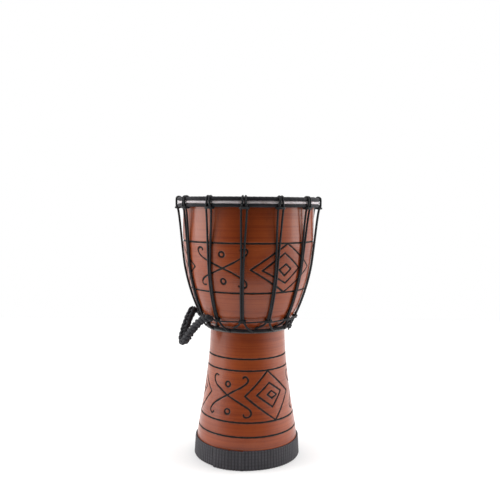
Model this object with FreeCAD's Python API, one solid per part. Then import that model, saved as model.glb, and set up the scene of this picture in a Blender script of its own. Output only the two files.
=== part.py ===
"""A laced goblet drum of the djembe kind, 40 cm tall, with its rope head hoops, cord lacing, rope handle and
rubber foot band. Millimetres, +Z up, origin at the middle of the foot on the surface that it stands on.

Angles are in degrees about +Z, measured from the front (-Y) towards +X. Each sub-part is written to parts/.
"""
import FreeCAD, Part
import math
import os

from FreeCAD import Vector

# ---------------------------------------------------------------- driving dimensions
# Shell: a turned goblet, hollow from end to end.
FOOT_GAP = 0.8  # the wood stands this far above the floor, on the rubber band's edge
FOOT_RADIUS = 80.2
BAND_TOP_RADIUS = 78.5  # shell radius where the rubber band ends
STEM_OUTLINE = ((74.4, 53.0), (66.8, 104.0), (60.6, 156.0))  # radius and height
THROAT_RADIUS = 58.3
THROAT_Z = 206.0
UNDERSIDE = (60.8, 207.6)  # where the bowl's outline starts
BOWL_OUTLINE = ((70.6, 219.0), (79.6, 235.0), (88.4, 260.0), (96.0, 290.0), (100.4, 324.0))
BOWL_WIDEST_Z = 362.0
HEAD_RADIUS = 101.5  # outside radius of the bowl at its widest
SHELL_TOP_Z = 399.3
RIM_WALL = 9.0
RIM_ROUND = 4.0
THROAT_BORE = 40.0
THROAT_BORE_LENGTH = 25.0
FOOT_BORE = 67.5
GROOVE_RADIUS = 1.0  # a carved ring line is a half-round cut of this radius
GROOVE_HEIGHTS = (48.9, 68.0, 143.2, 160.6, 263.5, 335.8)

# Head: goatskin, and three hoops stacked round the rim.
SKIN = 0.6
REST_GAP = 0.05  # between pieces that lie on each other
HOOP_ROD = 1.7  # radius of the steel rods
HOOP_COVER = 2.4  # radius over the cloth
HIDE_ROLL = 2.1  # radius of the middle hoop over the hide that is rolled round it
HIDE_ROLL_IN = 0.3  # its middle lies this far inside those of the other hoops
CORD_GAP = 0.12  # between a cord and what it is bent round
FLESH_DROP = 5.4  # the middle hoop lies this far below the rim
FLESH_Z = SHELL_TOP_Z - FLESH_DROP

# Lacing cord, and where it runs.
CORD = 1.5  # radius of the cord
PAIRS = 13
FIRST_PAIR = -3.2  # degrees, the pair nearest to the front
PAIR_LEAN = -5.0  # degrees that the lacing leans from the head down to the gather
UNEVEN = (2.0, 4.4, 3.8, -1.8, 1.0, -0.6, 1.6, -1.4, 0.7, -0.9, 1.3, -0.4, -1.0)  # degrees more
STRAND_REACH = 0.7  # clearance between a strand and the bowl, at the points that it is laid through
LAID_HEIGHTS = (237.0, 252.0, 270.0, 290.0)
LEAVES_BOWL = (101.05, 308.0)  # above here a strand runs straight to the hoops, off the bowl
HITCH_IN = CORD + 0.2  # half the spacing of a hitch's two strands over the crown hoop
HITCH_OUT = 4.0  # and where they pass under its bar
HITCH_BAR = 8.0  # half the length of the bar across the front
HITCH_BEHIND = 6.6  # half the spacing of its legs behind the lowest hoop
PAIR_HALF = CORD + REST_GAP  # half the spacing of a pair once its strands touch
SPLIT = (73.9, 216.3)  # radius and height where a pair parts again, under the gather cord
BASE_HOOP_RADIUS = 64.1
BASE_HOOP_Z = 202.2
BASE_LOOP_HALF = 2.8  # degrees, half the spread of a loop round the base hoop
HITCH_BEND = 2.8  # bend radius at the ends of a hitch's bar
SPLIT_BEND = 3.5
END_GAP = 0.15  # the cord's two ends meet under the base hoop, this far from the middle between them

# Gather cord: a thin twine that takes a round turn about every pair.
TWINE = 0.75  # its radius
GATHER_Z = 220.6
GATHER_PITCH = 1.0  # it reaches a pair this far above its middle, and leaves as far below
KNOT_PAIR = 2  # the pair after which its ends are knotted together
TAIL_TOP = (78.2, 62.0)  # radius and angle where its two ends turn down, side by side
TAIL_HALF = 0.8  # degrees, half their spread
KNOT_AT = (76.2, 57.5, 205.4)
KNOT = 3.2  # radius of the knot
STUB = 3.4  # the ends stick out of the knot by this much
TWINE_APART = 1.2  # half the spacing of the two ends in the knot

# Carrying handle: a plaited rope with a cord eye in each end, hung on the gather cord.
ROPE = 6.2  # radius of the plait
EYE_ANGLES = (-45.5, -99.5)
EYE_SEAT = 78.2  # the handle draws the gather cord out to this radius
EYE_RADIUS = 3.5  # of the eye's centreline
EYE_CORD = 1.3
EYE_TAIL = 1.0  # how far the eye's shank runs past the middle of the rope
NECK_OUT = 11.4  # the rope's ends stand off the hinge line by this much, level
NECK_UP = 3.5
ROPE_END = 4.0  # the rope runs on past its eye by this much
ROPE_TAPER = 2.0
BRANCH_MIDDLE = (22.0, 27.0, -16.5)  # a point of each branch: across from the middle, out and up
FOLD_CORNER = (8.6, 39.4, -37.2)

# Rubber foot band: a strip with its ends lapped.
BAND_HEIGHT = 28.0
BAND_WALL = 2.7
BAND_GAP = 0.1
LAP_AT = -36.0  # the strip's outer end
LAP = 16.0  # degrees that it covers of the inner end
LAP_RAMP = 14.0  # degrees over which it climbs onto the inner end
LAP_FREE = 2.0  # degrees between the inner end and the ramp


# ---------------------------------------------------------------- helpers
def polar(radius, degrees, z):
    """The point at that radius, angle from the front and height."""
    a = math.radians(degrees)
    return Vector(radius * math.sin(a), -radius * math.cos(a), z)


def beside(radius, degrees, along, z):
    """The point at that radius and height, a distance along the circle from an angle."""
    return polar(radius, degrees + math.degrees(along / radius), z)


def flat(radius, z):
    """A point of a profile, in the XZ half plane."""
    return Vector(radius, 0, z)


def line(a, b):
    return Part.LineSegment(a, b).toShape()


def arc_about(centre, radius, start, end):
    """An arc in the XZ half plane about a (radius, z) centre, from one angle above level to another."""
    def at(degrees):
        a = math.radians(degrees)
        return flat(centre[0] + radius * math.cos(a), centre[1] + radius * math.sin(a))
    return Part.Arc(at(start), at((start + end) / 2), at(end)).toShape()


def turned(edges):
    """The solid that a closed profile in the XZ half plane makes when it turns round the Z axis."""
    face = Part.Face(Part.Wire(Part.__sortEdges__(edges)))
    return face.revolve(Vector(0, 0, 0), Vector(0, 0, 1), 360)


def torus(radius, z, section):
    return Part.makeTorus(radius, section, Vector(0, 0, z), Vector(0, 0, 1))


def rounded_wire(points, radii=None):
    """Straight runs through the points, joined by tangent arcs, as large as the runs or radii allow."""
    radii = radii or {}
    edges = []
    start = points[0]
    for i in range(1, len(points) - 1):
        here = points[i]
        back = points[i - 1] - here
        on = points[i + 1] - here
        turn = math.pi - back.getAngle(on)
        if turn < 1e-3:
            continue
        cut = 0.45 * min(back.Length, on.Length)
        if i in radii:
            cut = min(cut, radii[i] * math.tan(turn / 2))
        back.normalize()
        on.normalize()
        a = here + back * cut
        b = here + on * cut
        middle = back + on
        middle.normalize()
        radius = cut / math.tan(turn / 2)
        deep = radius / math.cos(turn / 2) - radius
        edges.append(line(start, a))
        edges.append(Part.Arc(a, here + middle * deep, b).toShape())
        start = b
    edges.append(line(start, points[-1]))
    return Part.Wire(edges)


def tube(wire, radius):
    """A round bar along a wire."""
    first = wire.OrderedEdges[0]
    at = first.valueAt(first.FirstParameter)
    along = first.tangentAt(first.FirstParameter)
    ring = Part.Wire(Part.makeCircle(radius, at, along))
    return wire.makePipeShell([ring], True, False)


def report_cord(name, wire, radius, solid):
    """Prints a cord's length and sharpest bend, and how its volume compares with section times length."""
    bends = [e.Curve.Radius for e in wire.Edges if hasattr(e.Curve, "Radius")]
    share = solid.Volume / (math.pi * radius ** 2 * wire.Length)
    print(f"{name}: length {wire.Length:.1f}, least bend {min(bends):.2f}, volume share {share:.4f}")


def save(name, *solids):
    """Writes the solids of one sub-part, and prints its volume."""
    shape = solids[0] if len(solids) == 1 else Part.makeCompound(list(solids))
    found = shape.Solids
    bad = [s for s in found if not s.isValid() or s.Volume <= 0]
    if not found or bad:
        raise ValueError(f"{name}: {len(found)} solids, {len(bad)} of them not valid")
    shape.exportStep(os.path.join("parts", f"{name}.step"))
    print(f"{name}: {len(found)} solid(s), {sum(s.Volume for s in found):.0f} mm3")


# ---------------------------------------------------------------- shell
def spline(points):
    curve = Part.BSplineCurve()
    curve.interpolate([flat(*p) for p in points])
    return curve


def bowl_curve():
    """The bowl's outline from its underside up to its widest height, upright at the top."""
    curve = Part.BSplineCurve()
    points = [flat(*p) for p in (UNDERSIDE,) + BOWL_OUTLINE + ((HEAD_RADIUS, BOWL_WIDEST_Z),)]
    curve.interpolate(Points=points, FinalTangent=Vector(0, 0, 1), InitialTangent=Vector(0.66, 0, 0.75))
    return curve


def bowl_offset(z, reach):
    """The (radius, z) point that stands off the bowl's outline by a distance, opposite a height."""
    curve = bowl_curve()
    low, high = curve.FirstParameter, curve.LastParameter
    for _ in range(40):
        middle = (low + high) / 2
        if curve.value(middle).z < z:
            low = middle
        else:
            high = middle
    at = curve.value(low)
    along = curve.tangent(low)[0]
    return at.x + along.z * reach, at.z - along.x * reach


def foot_radius(z):
    """The shell's outer radius on the foot's cone, up to the top of the rubber band."""
    return FOOT_RADIUS + (BAND_TOP_RADIUS - FOOT_RADIUS) * z / BAND_HEIGHT


def make_shell():
    foot_in = flat(FOOT_BORE, FOOT_GAP)
    foot_out = flat(foot_radius(FOOT_GAP), FOOT_GAP)
    stem = spline(((BAND_TOP_RADIUS, BAND_HEIGHT),) + STEM_OUTLINE + ((THROAT_RADIUS, THROAT_Z),))
    rim_in = HEAD_RADIUS - RIM_WALL
    outer_round = (HEAD_RADIUS - RIM_ROUND, SHELL_TOP_Z - RIM_ROUND)
    inner_round = (rim_in + RIM_ROUND / 2, SHELL_TOP_Z - RIM_ROUND / 2)
    bore = spline((
        (rim_in, inner_round[1]),
        (rim_in - 1.0, BOWL_WIDEST_Z - 15.0),
        (BOWL_OUTLINE[3][0] - RIM_WALL - 1.0, BOWL_OUTLINE[3][1] + 6.0),
        (BOWL_OUTLINE[2][0] - RIM_WALL - 4.0, BOWL_OUTLINE[2][1] + 7.0),
        (THROAT_BORE + 20.0, THROAT_Z + 28.0),
        (THROAT_BORE, THROAT_Z),
    ))
    edges = [
        line(foot_in, foot_out),
        line(foot_out, flat(BAND_TOP_RADIUS, BAND_HEIGHT)),
        stem.toShape(),
        line(flat(THROAT_RADIUS, THROAT_Z), flat(*UNDERSIDE)),
        bowl_curve().toShape(),
        line(flat(HEAD_RADIUS, BOWL_WIDEST_Z), flat(HEAD_RADIUS, outer_round[1])),
        arc_about(outer_round, RIM_ROUND, 0, 90),
        line(flat(outer_round[0], SHELL_TOP_Z), flat(inner_round[0], SHELL_TOP_Z)),
        arc_about(inner_round, RIM_ROUND / 2, 90, 180),
        bore.toShape(),
        line(flat(THROAT_BORE, THROAT_Z), flat(THROAT_BORE, THROAT_Z - THROAT_BORE_LENGTH)),
        line(flat(THROAT_BORE, THROAT_Z - THROAT_BORE_LENGTH), foot_in),
    ]
    shell = turned(edges)
    for z in GROOVE_HEIGHTS:
        shell = shell.cut(torus(surface_radius(shell, z), z, GROOVE_RADIUS))
    return shell


def surface_radius(shell, z):
    """The outer radius of the shell at a height, read from the solid."""
    ray = line(Vector(0, 0, z), Vector(HEAD_RADIUS + 5, 0, z)).common(shell)
    return max(v.X for v in ray.Vertexes)


# ---------------------------------------------------------------- head and hoops
WALL_OUT = HEAD_RADIUS + REST_GAP + SKIN
BEHIND_RADIUS = WALL_OUT + CORD_GAP + CORD  # middle of a cord between the hide and the hoops
HOOP_WRAP = HOOP_COVER + CORD_GAP + CORD  # from a hoop's middle to that of a cord bent round it
HOOP_RADIUS = BEHIND_RADIUS + HOOP_WRAP
FRONT_RADIUS = HOOP_RADIUS + HOOP_WRAP
CROWN_Z = FLESH_Z + HIDE_ROLL + REST_GAP + HOOP_COVER
SKIRT_Z = FLESH_Z - HIDE_ROLL - REST_GAP - HOOP_COVER
TOP_Z = CROWN_Z + HOOP_WRAP
BAR_Z = SKIRT_Z - 7.5  # the bar of a hitch, under the lowest hoop
STRAND_AT_BAR = HOOP_RADIUS + 0.5  # strands are drawn in to this radius there
BAR_RADIUS = STRAND_AT_BAR + 2 * CORD + CORD_GAP


def pair_angle(i):
    return FIRST_PAIR + 360.0 / PAIRS * i


def leg_points(i, side):
    """The leg of a hitch behind the hoops: its top and its bottom."""
    top = beside(BEHIND_RADIUS, pair_angle(i), side * HITCH_IN, TOP_Z)
    bottom = beside(BEHIND_RADIUS, pair_angle(i), side * HITCH_BEHIND, SKIRT_Z - HOOP_WRAP)
    return top, bottom


def make_skin():
    """The hide: over the rim, down the wall, out under the middle hoop and rolled round it."""
    low = SHELL_TOP_Z + REST_GAP
    high = low + SKIN
    centre = (HEAD_RADIUS - RIM_ROUND, SHELL_TOP_Z - RIM_ROUND)
    wall_in = HEAD_RADIUS + REST_GAP
    roll = (HOOP_RADIUS - HIDE_ROLL_IN, FLESH_Z)
    tight = HIDE_ROLL - SKIN
    end = 165.0
    a = math.radians(end)
    tip = [flat(roll[0] + r * math.cos(a), roll[1] + r * math.sin(a)) for r in (tight, HIDE_ROLL)]
    edges = [
        line(flat(0, high), flat(centre[0], high)),
        arc_about(centre, RIM_ROUND + REST_GAP + SKIN, 90, 0),
        line(flat(WALL_OUT, centre[1]), flat(WALL_OUT, FLESH_Z - tight)),
        line(flat(WALL_OUT, FLESH_Z - tight), flat(roll[0], FLESH_Z - tight)),
        arc_about(roll, tight, -90, end),
        line(tip[0], tip[1]),
        arc_about(roll, HIDE_ROLL, end, -90),
        line(flat(roll[0], FLESH_Z - HIDE_ROLL), flat(wall_in, FLESH_Z - HIDE_ROLL)),
        line(flat(wall_in, FLESH_Z - HIDE_ROLL), flat(wall_in, centre[1])),
        arc_about(centre, RIM_ROUND + REST_GAP, 0, 90),
        line(flat(centre[0], low), flat(0, low)),
        line(flat(0, low), flat(0, high)),
    ]
    skin = turned(edges)
    holes = []
    for i in range(PAIRS):
        for side in (-1, 1):
            top, bottom = leg_points(i, side)
            along = (bottom - top).normalize()
            middle = top + along * ((top.z - FLESH_Z + HIDE_ROLL) / -along.z)
            holes.append(Part.makeCylinder(CORD + CORD_GAP, 6.0, middle - along * 3.0, along))
    return skin.cut(Part.makeCompound(holes))


def make_cover(radius, z):
    """The cloth wound round a steel hoop."""
    return torus(radius, z, HOOP_COVER).cut(torus(radius, z, HOOP_ROD + REST_GAP))


# ---------------------------------------------------------------- lacing
def strand_profile():
    """Radius and height of a strand's middle, from where its pair parts up to the bar of its hitch."""
    laid = [bowl_offset(z, CORD + STRAND_REACH) for z in LAID_HEIGHTS]
    return [SPLIT] + laid + [LEAVES_BOWL, (STRAND_AT_BAR + 0.2, BAR_Z + 1.6)]


def pair_foot(i):
    """The angle of a pair where the gather cord holds it."""
    return pair_angle(i) + PAIR_LEAN + UNEVEN[i % PAIRS]


def strand_angle(i, z):
    """A pair's angle at a height: it leans evenly from the head down to the gather."""
    share = (SKIRT_Z - z) / (SKIRT_Z - GATHER_Z)
    return pair_angle(i) + (pair_foot(i) - pair_angle(i)) * max(0.0, share)


def half_bay(i, side):
    """Points of one strand of pair i, from under the base hoop up to its end of the hitch's bar."""
    between = (pair_foot(i) + pair_foot(i + side)) / 2
    front = BASE_HOOP_RADIUS + HOOP_WRAP
    behind = BASE_HOOP_RADIUS - HOOP_WRAP
    under = BASE_HOOP_Z - HOOP_WRAP
    over = BASE_HOOP_Z + HOOP_WRAP
    if side > 0:  # this strand meets the base hoop from the front
        points = [polar(front, between - BASE_LOOP_HALF, under)]
    else:  # this one comes up behind it, and forward over it
        points = [
            polar(behind, between + BASE_LOOP_HALF, under),
            polar(behind, between + BASE_LOOP_HALF, over),
            polar(BASE_HOOP_RADIUS + HOOP_COVER, between + BASE_LOOP_HALF + 0.4, over + 0.3),
        ]
    for r, z in strand_profile():
        spread = PAIR_HALF
        if z > LEAVES_BOWL[1]:
            spread = HITCH_OUT
        points.append(beside(r, strand_angle(i, z), side * spread, z))
    hitch = pair_angle(i)
    top, bottom = leg_points(i, side)
    points += [
        beside(FRONT_RADIUS, hitch, side * HITCH_OUT * 0.85, SKIRT_Z - HOOP_COVER),
        beside(FRONT_RADIUS, hitch, side * HITCH_IN, FLESH_Z),
        beside(FRONT_RADIUS, hitch, side * HITCH_IN, TOP_Z),
        top,
        bottom,
        beside(BAR_RADIUS, hitch, side * HITCH_BAR, BAR_Z),
    ]
    return points


def make_lacing():
    """One cord laced round the drum: up a strand, round the hitch, down, and round the base hoop."""
    points, radii = [], {}
    for i in range(PAIRS):
        up, down = half_bay(i, -1), half_bay(i, 1)[::-1]
        first_bar = len(points) + len(up) - 1
        radii[first_bar] = HITCH_BEND
        radii[first_bar + 1] = HITCH_BEND
        radii[len(points) + 3] = SPLIT_BEND
        radii[len(points) + len(up) + len(down) - 2] = SPLIT_BEND
        points += up + down
    first, last = points[0], points[-1]
    along = (first - last).normalize()
    middle = (first + last) / 2
    points = [middle + along * END_GAP] + points + [middle - along * END_GAP]
    radii = {i + 1: radius for i, radius in radii.items()}
    wire = rounded_wire(points, radii)
    lacing = tube(wire, CORD)
    report_cord("lacing_cord", wire, CORD, lacing)
    return lacing


# ---------------------------------------------------------------- gather cord
def strand_radius(z):
    """Radius of a strand's middle between the split and the first point laid on the bowl."""
    low, high = strand_profile()[:2]
    return low[0] + (z - low[1]) / (high[1] - low[1]) * (high[0] - low[0])


def eye_centre(k):
    return polar(EYE_SEAT, EYE_ANGLES[k], GATHER_Z)


def gather_points():
    """The gather cord from end to end: straight between pairs, with a round turn about each of them."""
    low, high = strand_profile()[:2]
    slope = math.atan2(high[0] - low[0], high[1] - low[1])
    away = CORD + CORD_GAP + TWINE
    side = PAIR_HALF + away
    pitch = GATHER_PITCH
    points = []
    for k in range(1, PAIRS + 1):
        i = k + KNOT_PAIR
        angle = pair_foot(i)

        def at(along, out, up):
            """A point beside the pair: along the circle, out from the bowl and up the pair."""
            r = strand_radius(GATHER_Z) + out * math.cos(slope) + up * math.sin(slope)
            return beside(r, angle, along, GATHER_Z - out * math.sin(slope) + up * math.cos(slope))

        points += [
            at(-PAIR_HALF, away + 2 * CORD_GAP, pitch),
            at(side, away, pitch),
            at(side, -away, pitch / 2),
            at(-side, -away, -pitch / 2),
            at(-side, away, -pitch),
            at(PAIR_HALF, away + 2 * CORD_GAP, -pitch),
        ]
        for eye in EYE_ANGLES:
            if angle < eye + 360 < pair_foot(i + 1):
                points.append(polar(EYE_SEAT, eye, GATHER_Z))
    radius, top = TAIL_TOP
    start = polar(radius, top + TAIL_HALF, GATHER_Z + pitch)
    end = polar(radius, top - TAIL_HALF, GATHER_Z - pitch)
    knot = polar(*KNOT_AT)
    aside = (start - end).normalize() * TWINE_APART
    down = Vector(0, 0, -KNOT - STUB)
    splay = aside * 2
    first_end = [knot + aside + splay + down, knot + aside, start]
    return first_end + points + [end, knot - aside, knot - aside - splay + down]


def make_gather():
    """The gather cord with the knot that joins its ends."""
    wire = rounded_wire(gather_points(), {})
    cord = tube(wire, TWINE)
    report_cord("gather_cord", wire, TWINE, cord)
    knot = Part.makeSphere(KNOT, polar(*KNOT_AT))
    return cord.fuse(knot).removeSplitter()


# ---------------------------------------------------------------- handle
class Handle:
    """The handle's frame: the hinge line through both eyes, and the levels out and up from its middle."""

    front = polar(EYE_SEAT, EYE_ANGLES[0], GATHER_Z)
    rear = polar(EYE_SEAT, EYE_ANGLES[1], GATHER_Z)
    middle = (front + rear) / 2
    across = (rear - front).normalize()
    out = Vector(middle.x, middle.y, 0).normalize()
    neck = out * NECK_OUT + Vector(0, 0, NECK_UP)

    @classmethod
    def route(cls, side):
        """One branch of the rope, from its seat on the eye to the fold."""
        seat = (cls.front if side < 0 else cls.rear) + cls.neck

        def at(across, out, up):
            return cls.middle + cls.across * (side * across) + cls.out * out + Vector(0, 0, up)

        return [seat, at(*BRANCH_MIDDLE), at(*FOLD_CORNER)]


def make_eye(centre):
    """A cord eye: a ring on the gather cord, with a shank that runs into the rope."""
    ring = Part.makeTorus(EYE_RADIUS, EYE_CORD, centre, Handle.across)
    along = Vector(Handle.neck).normalize()
    reach = Handle.neck.Length + EYE_TAIL - EYE_RADIUS
    shank = Part.makeCylinder(EYE_CORD, reach, centre + along * EYE_RADIUS, along)
    return ring.fuse(shank).removeSplitter()


def make_rope():
    """The plaited rope, folded in the middle, with a blunt taper at both ends and a seat for each eye."""
    near, far = Handle.route(-1), Handle.route(1)
    ends = []
    for branch in (near, far):
        run = (branch[1] - branch[0]).normalize()
        branch[0] = branch[0] - run * (ROPE_END - ROPE_TAPER)
        ends.append((branch[0], run))
    wire = rounded_wire(near + far[::-1])
    rope = tube(wire, ROPE)
    report_cord("handle_rope", wire, ROPE, rope)
    for start, run in ends:
        rope = rope.fuse(Part.makeCone(ROPE - ROPE_TAPER, ROPE, ROPE_TAPER, start - run * ROPE_TAPER, run))
    along = Vector(Handle.neck).normalize()
    reach = Handle.neck.Length + EYE_TAIL + REST_GAP
    for eye in (Handle.front, Handle.rear):
        rope = rope.cut(Part.makeCylinder(EYE_CORD + REST_GAP, reach, eye, along))
    return rope.removeSplitter()


# ---------------------------------------------------------------- foot band
def band_outline(z):
    """The strip seen from above at a height: over its own inner end, down a ramp and round the foot."""
    low = foot_radius(z) + BAND_GAP
    high = low + BAND_WALL + BAND_GAP
    lap_end = LAP_AT + LAP + LAP_FREE
    round_start = lap_end + LAP_RAMP
    inner_end = LAP_AT + LAP + 360
    thirds = [round_start + (inner_end - round_start) * k / 3 for k in range(4)]

    def side(extra):
        def arc(radius, start, end):
            stops = [polar(radius + extra, a, z) for a in (start, (start + end) / 2, end)]
            return Part.Arc(*stops).toShape()
        ramp = line(polar(high + extra, lap_end, z), polar(low + extra, round_start, z))
        rounds = [arc(low, a, b) for a, b in zip(thirds, thirds[1:])]
        return [arc(high, LAP_AT, lap_end), ramp] + rounds
    ends = [
        line(polar(high, LAP_AT, z), polar(high + BAND_WALL, LAP_AT, z)),
        line(polar(low, inner_end, z), polar(low + BAND_WALL, inner_end, z)),
    ]
    return Part.Wire(Part.__sortEdges__(side(0) + side(BAND_WALL) + ends))


def make_band():
    return Part.makeLoft([band_outline(0), band_outline(BAND_HEIGHT)], True, True)


def main():
    os.makedirs("parts", exist_ok=True)
    save("shell", make_shell())
    save("drum_skin", make_skin())
    save("flesh_hoop", torus(HOOP_RADIUS - HIDE_ROLL_IN, FLESH_Z, HIDE_ROLL - SKIN - REST_GAP))
    save("crown_hoop", torus(HOOP_RADIUS, CROWN_Z, HOOP_ROD))
    save("crown_hoop_cover", make_cover(HOOP_RADIUS, CROWN_Z))
    save("skirt_hoop", torus(HOOP_RADIUS, SKIRT_Z, HOOP_ROD))
    save("skirt_hoop_cover", make_cover(HOOP_RADIUS, SKIRT_Z))
    save("base_hoop", torus(BASE_HOOP_RADIUS, BASE_HOOP_Z, HOOP_ROD))
    save("base_hoop_cover", make_cover(BASE_HOOP_RADIUS, BASE_HOOP_Z))
    save("lacing_cord", make_lacing())
    save("gather_cord", make_gather())
    save("handle_rope", make_rope())
    save("handle_eye_front", make_eye(Handle.front))
    save("handle_eye_rear", make_eye(Handle.rear))
    save("foot_band", make_band())
    print("hinge", Handle.middle, Handle.across)


if __name__ == "__main__":
    main()
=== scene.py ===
"""A laced goblet drum of the djembe kind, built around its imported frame: carved and varnished shell,
goatskin head on cloth-wound hoops, braided lacing, plaited rope handle and ribbed rubber foot band.

Sizes and shapes are in millimetres, and MM turns them into the metres that Blender works in. The stage and
the scales of the materials are in metres. Angles are in degrees about +Z from the front (-Y) towards +X.
"""
import math

import bpy
import numpy as np
from mathutils import Matrix, Vector


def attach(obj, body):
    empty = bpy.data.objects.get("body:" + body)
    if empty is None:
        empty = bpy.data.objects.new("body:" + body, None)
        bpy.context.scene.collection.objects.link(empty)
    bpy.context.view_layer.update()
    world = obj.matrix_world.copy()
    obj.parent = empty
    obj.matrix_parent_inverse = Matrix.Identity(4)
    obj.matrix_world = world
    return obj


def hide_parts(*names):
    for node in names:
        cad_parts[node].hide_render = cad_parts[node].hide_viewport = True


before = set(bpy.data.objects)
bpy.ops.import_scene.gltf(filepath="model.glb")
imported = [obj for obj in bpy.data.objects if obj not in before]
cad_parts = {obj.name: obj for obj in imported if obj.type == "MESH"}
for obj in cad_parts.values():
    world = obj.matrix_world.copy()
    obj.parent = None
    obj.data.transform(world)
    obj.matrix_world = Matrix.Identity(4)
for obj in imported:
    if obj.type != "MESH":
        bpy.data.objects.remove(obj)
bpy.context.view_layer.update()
MM = 0.001
TURN = 2 * math.pi

# ---------------------------------------------------------------- sizes
# Shell and its turned ring lines
FOOT_GAP, FOOT_RADIUS, FOOT_BORE = 0.8, 80.2, 67.5
THROAT_RADIUS, THROAT_Z, UNDERSIDE_RADIUS, UNDERSIDE_Z = 58.3, 206.0, 60.8, 207.6
THROAT_BORE, THROAT_BORE_END = 40.0, 181.0
HEAD_RADIUS, SHELL_TOP_Z, RIM_ROUND, REST_GAP = 101.5, 399.3, 4.0, 0.05
GROOVES = (48.9, 68.0, 143.2, 160.6, 263.5, 335.8)
RINGS = (47.3,) + GROOVES[1:]  # the lowest ring line is cut a little lower than in the CAD shell

# Hoops of the head, and the hide
HOOP_RADIUS, HOOP_WRAP, HOOP_COVER = 107.79, 4.02, 2.4
BEHIND_RADIUS, FRONT_RADIUS = 103.77, 111.81
CROWN_Z, FLESH_Z, SKIRT_Z, TOP_Z = 398.45, 393.9, 389.35, 402.47
FLESH_RADIUS, HIDE_ROLL, SKIN = 107.49, 2.1, 0.6

# Base hoop: its winding is thinner and a little higher than in the CAD
BASE_HOOP_RADIUS, BASE_HOOP_Z, BASE_COVER, BASE_WRAP, BASE_LOOP_HALF = 63.8, 205.1, 1.8, 3.0, 2.8

# Lacing
CORD, CORD_GAP = 1.55, 0.12
PAIRS, FIRST_PAIR, PAIR_LEAN = 13, -3.2, -5.0
UNEVEN = (2.0, 4.4, 3.8, -1.8, 1.0, -0.6, 1.6, -1.4, 0.7, -0.9, 1.3, -0.4, -1.0)
LEAVES_BOWL_Z = 308.0
STRAND = ((73.9, 216.3), (82.485, 236.152), (87.995, 251.324), (93.475, 269.404), (98.166, 289.615),
          (101.05, LEAVES_BOWL_Z), (108.49, 383.45))  # radius and height
HITCH_IN, HITCH_OUT, HITCH_BAR, HITCH_BEHIND, PAIR_HALF = 2.1, 4.3, 5.8, 6.0, 1.55
BAR_Z, BAR_RADIUS = 385.8, 113.2

# Gather cord and its knot
TWINE, GATHER_Z, GATHER_PITCH, KNOT_PAIR = 1.15, 220.6, 1.0, 2
TAIL_TOP, TAIL_HALF, KNOT_AT, STUB, TWINE_APART = (78.0, 59.5), 0.9, (77.2, 54.6, 208.6), 2.5, 1.3
KNOT_CORD, KNOT_LONG, KNOT_HIGH = 1.75, 4.3, 2.1

# Handle: the eyes, and the rope as (across, out, up) points
EYE_ANGLES, EYE_SEAT, EYE_RADIUS, EYE_CORD = (-45.5, -99.5), 78.2, 3.5, 1.3
NECK_OUT, NECK_UP = 11.4, 3.5
WHIP_CORD, WHIP_RADIUS = 1.1, 2.9
ROPE_ENDS = {-1: ((16.0, -7.6, 0.0), (6.0, -1.2, 0.5)), 1: ((2.5, -3.0, 2.0), (0.0, 0.0, 0.0))}
BRANCH_MIDDLE, FOLD_CORNER = (22.0, 24.5, -17.0), (9.0, 33.6, -39.2)

# Foot band
BAND_TOP_RADIUS, BAND_HEIGHT, BAND_WALL, BAND_GAP = 78.5, 28.0, 2.7, 0.1
LAP_AT, LAP, LAP_FREE, LAP_RAMP = -36.0, 16.0, 2.0, 14.0


# ---------------------------------------------------------------- helpers
def polar(radius, degrees, z):
    a = math.radians(degrees)
    return Vector((radius * math.sin(a), -radius * math.cos(a), z))


def beside(radius, degrees, along, z):
    return polar(radius, degrees + math.degrees(along / radius), z)


def grid_mesh(name, points, wrap_u=False, uv=None):
    """A mesh from a rows x columns x 3 array, closed along its columns and, if asked, its rows."""
    rows, cols = points.shape[:2]
    verts = points.reshape(-1, 3) * MM
    a, b = np.meshgrid(np.arange(rows if wrap_u else rows - 1), np.arange(cols), indexing="ij")
    a2, b2 = (a + 1) % rows, (b + 1) % cols
    faces = np.stack([a * cols + b, a * cols + b2, a2 * cols + b2, a2 * cols + b], axis=-1).reshape(-1, 4)
    corner = verts[faces]
    turned = np.cross(corner[:, 1], corner[:, 2]) + np.cross(corner[:, 2], corner[:, 3])
    volume = np.einsum("ij,ij->", corner[:, 0], turned)
    flip = volume < 0
    if flip:
        faces = faces[:, ::-1]
    mesh = bpy.data.meshes.new(name)
    count = len(faces)
    mesh.vertices.add(len(verts))
    mesh.vertices.foreach_set("co", verts.astype(np.float32).ravel())
    mesh.loops.add(4 * count)
    mesh.loops.foreach_set("vertex_index", faces.astype(np.int32).ravel())
    mesh.polygons.add(count)
    mesh.polygons.foreach_set("loop_start", np.arange(0, 4 * count, 4, dtype=np.int32))
    mesh.polygons.foreach_set("use_smooth", np.ones(count, dtype=bool))
    if uv is not None:
        u_at, v_at = uv
        corner_u = np.stack([u_at[a], u_at[a], u_at[a + 1], u_at[a + 1]], axis=-1).reshape(-1, 4)
        corner_v = np.stack([v_at[b], v_at[b + 1], v_at[b + 1], v_at[b]], axis=-1).reshape(-1, 4)
        if flip:
            corner_u, corner_v = corner_u[:, ::-1], corner_v[:, ::-1]
        layer = mesh.uv_layers.new(name="along")
        layer.data.foreach_set("uv", np.stack([corner_u, corner_v], axis=-1).astype(np.float32).ravel())
    mesh.update(calc_edges=True)
    obj = bpy.data.objects.new(name, mesh)
    bpy.context.scene.collection.objects.link(obj)
    return obj


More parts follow.
